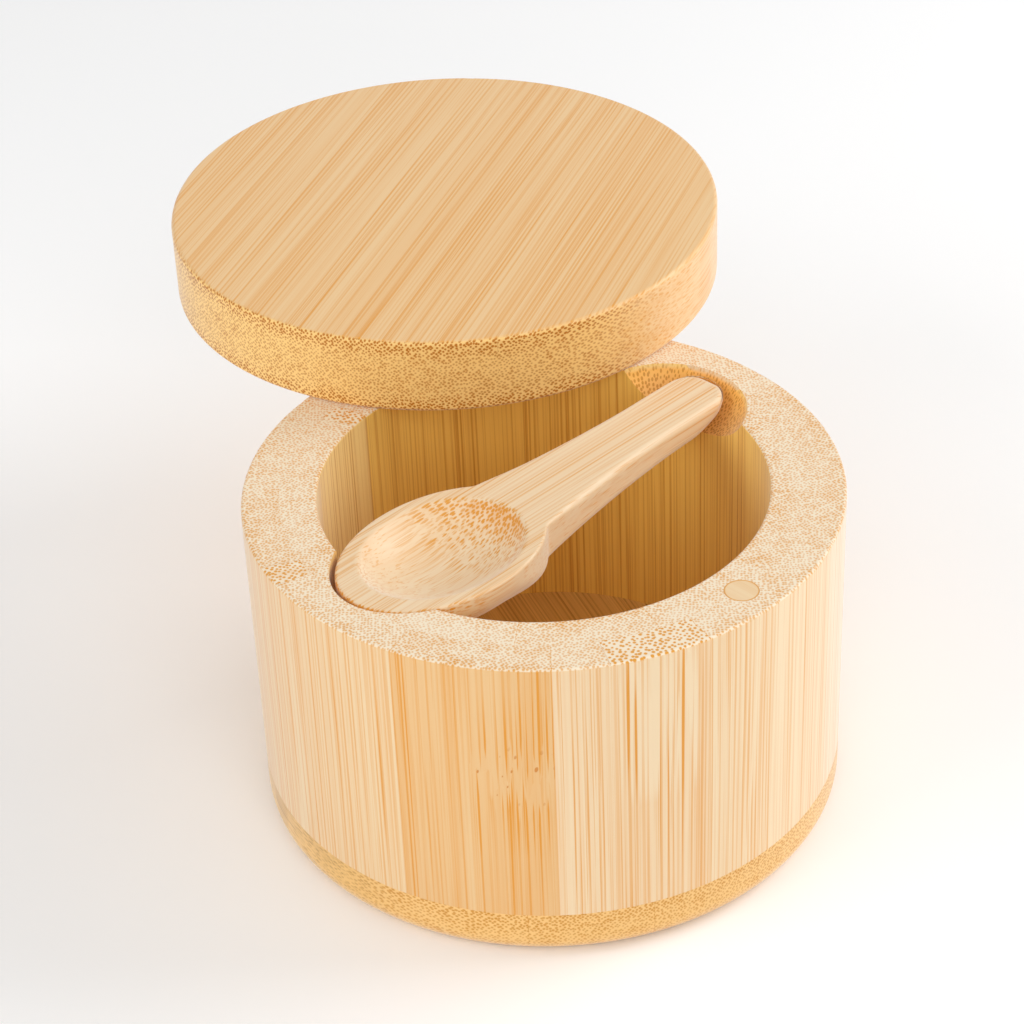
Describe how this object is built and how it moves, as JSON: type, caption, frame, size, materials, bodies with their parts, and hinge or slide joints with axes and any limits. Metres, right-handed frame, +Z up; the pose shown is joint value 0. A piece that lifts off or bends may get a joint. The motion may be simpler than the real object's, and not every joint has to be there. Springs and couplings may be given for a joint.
{
  "type": "salt box with swivel lid and spoon",
  "caption": "Round turned bamboo salt box with thick walls of two plies of staves, a flat lid that swivels on a hidden pin, a magnet catch, and a small spoon resting in two pockets of the rim.",
  "frame": {"origin": "centre of the base's underside, on the box's own axis", "axes": "+Z up; the hinge pin stands at +Y and the rim's catch magnet at -Y; the spoon lies along X with its bowl at -X; the lid is stored swung open"},
  "size_m": [0.139, 0.1636, 0.0732],
  "materials": {
    "stave_bamboo": "oiled satin, end grain up on the rim and straight grain up the wall",
    "base_bamboo": "oiled satin, grain across the disc",
    "lid_bamboo": "oiled satin, grain across the lid",
    "spoon_bamboo": "oiled satin, grain along the spoon",
    "plug_bamboo": "sanded flush",
    "magnet_nickel": "nickel plating",
    "pin_steel": "bright drawn steel"
  },
  "bodies": {
    "box": {"outer_stave_01": "stave_bamboo", "outer_stave_02": "stave_bamboo", "outer_stave_03": "stave_bamboo", "outer_stave_04": "stave_bamboo", "outer_stave_05": "stave_bamboo", "outer_stave_06": "stave_bamboo", "outer_stave_07": "stave_bamboo", "outer_stave_08": "stave_bamboo", "outer_stave_09": "stave_bamboo", "outer_stave_10": "stave_bamboo", "outer_stave_11": "stave_bamboo", "outer_stave_12": "stave_bamboo", "inner_stave_01": "stave_bamboo", "inner_stave_02": "stave_bamboo", "inner_stave_03": "stave_bamboo", "inner_stave_04": "stave_bamboo", "inner_stave_05": "stave_bamboo", "inner_stave_06": "stave_bamboo", "inner_stave_07": "stave_bamboo", "inner_stave_08": "stave_bamboo", "inner_stave_09": "stave_bamboo", "inner_stave_10": "stave_bamboo", "inner_stave_11": "stave_bamboo", "inner_stave_12": "stave_bamboo", "base_strip_1": "base_bamboo", "base_strip_2": "base_bamboo", "base_strip_3": "base_bamboo", "base_strip_4": "base_bamboo", "base_strip_5": "base_bamboo", "hinge_pin": "pin_steel", "rim_magnet": "magnet_nickel", "rim_magnet_plug": "plug_bamboo"},
    "lid": {"lid_lower_strip_1": "lid_bamboo", "lid_lower_strip_2": "lid_bamboo", "lid_lower_strip_3": "lid_bamboo", "lid_lower_strip_4": "lid_bamboo", "lid_lower_strip_5": "lid_bamboo", "lid_upper_strip_1": "lid_bamboo", "lid_upper_strip_2": "lid_bamboo", "lid_upper_strip_3": "lid_bamboo", "lid_upper_strip_4": "lid_bamboo", "lid_upper_strip_5": "lid_bamboo", "lid_magnet": "magnet_nickel", "lid_magnet_plug": "plug_bamboo"},
    "spoon": {"spoon": "spoon_bamboo"}
  },
  "joints": [
    {"name": "lid_swivel", "type": "hinge", "parent": "box", "child": "lid", "pos_m": [0, 0.04375, 0.0592], "axis": [0, 0, 1], "range_deg": [-117, 243]},
    {"name": "spoon_lift", "type": "slide", "parent": "box", "child": "spoon", "axis": [0, 0, 1], "range_m": [0, 0.06]}
  ]
}
